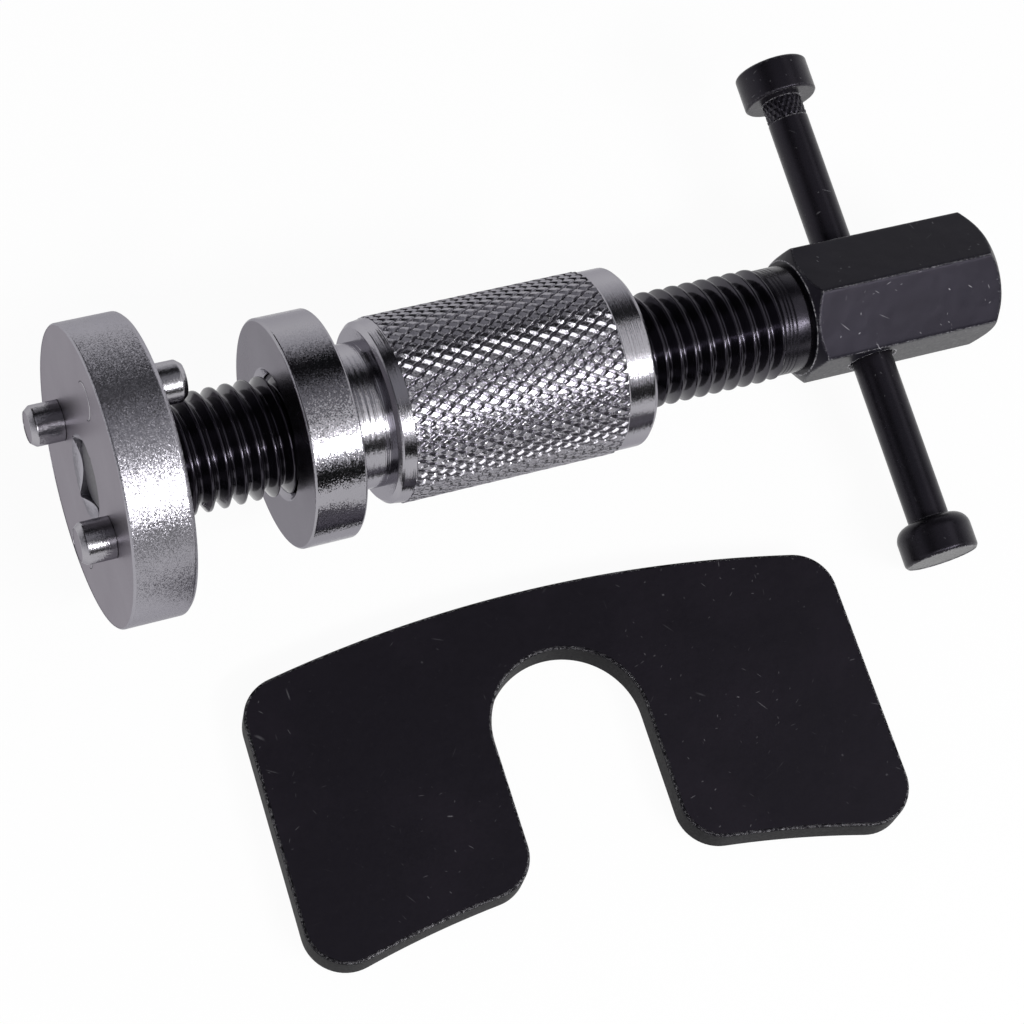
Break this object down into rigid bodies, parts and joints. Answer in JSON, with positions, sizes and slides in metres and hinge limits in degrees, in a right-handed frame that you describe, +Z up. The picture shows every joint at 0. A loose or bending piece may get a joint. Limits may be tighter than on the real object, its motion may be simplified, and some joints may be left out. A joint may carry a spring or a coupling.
{
  "type": "brake caliper piston tool",
  "caption": "Screw spindle with hex head and sliding tommy bar, knurled nut with thrust flange, pin adaptor disc on a square drive, and a loose slotted reaction plate.",
  "frame": {"origin": "on the bench, under the middle of the whole arrangement", "axes": "+X along the tool towards its hex head, +Z up from the bench, -Y towards the reaction plate"},
  "size_m": [0.153, 0.1204, 0.0455],
  "materials": {
    "blackened_steel": "black oxide, oiled, satin",
    "blackened_plate": "black oxide on cut plate, satin, worn edges",
    "satin_plated_steel": "zinc plated over a blasted surface, satin",
    "bright_plated_steel": "bright nickel plate, smooth",
    "turned_plated_steel": "bright plate over turned and knurled steel",
    "bearing_steel": "hardened and polished"
  },
  "bodies": {
    "spindle": {"spindle": "blackened_steel", "detent_spring": "bearing_steel"},
    "ball": {"detent_ball": "bearing_steel"},
    "adaptor": {"adaptor_disc": "satin_plated_steel", "front_pin_upper": "satin_plated_steel", "front_pin_lower": "satin_plated_steel", "rear_pin_upper": "satin_plated_steel", "rear_pin_lower": "satin_plated_steel"},
    "flange": {"thrust_flange": "bright_plated_steel", "retaining_ring": "bearing_steel"},
    "nut": {"knurled_nut": "turned_plated_steel"},
    "bar": {"tommy_bar": "blackened_steel", "bar_cap": "blackened_steel"},
    "plate": {"reaction_plate": "blackened_plate"}
  },
  "joints": [
    {"name": "ball_press", "type": "slide", "parent": "spindle", "child": "ball", "axis": [0.0626, 0.6677, 0.7418], "range_m": [0, 0.0004], "stiffness_N_per_m": 800, "springref_m": -0.0004},
    {"name": "adaptor_pull", "type": "slide", "parent": "spindle", "child": "adaptor", "axis": [-0.9965, 0, 0.084], "range_m": [0, 0.016]},
    {"name": "nut_travel", "type": "slide", "parent": "spindle", "child": "flange", "axis": [0.9965, 0, -0.084], "range_m": [-0.013, 0.0253]},
    {"name": "nut_turn", "type": "hinge", "parent": "flange", "child": "nut", "pos_m": [-0.02802, 0.01882, 0.01955], "axis": [0.9965, 0, -0.084], "range_deg": [-1877, 3648]},
    {"name": "bar_slide", "type": "slide", "parent": "spindle", "child": "bar", "axis": [-0.0133, -0.9874, -0.1578], "range_m": [-0.0265, 0.0252]},
    {"name": "plate_lift", "type": "slide", "parent": "spindle", "child": "plate", "axis": [0, 0, 1], "range_m": [0, 0.06]}
  ],
  "couplings": [
    {"joint": "nut_turn", "follows": "nut_travel", "rad_per_m": 2513.3}
  ]
}
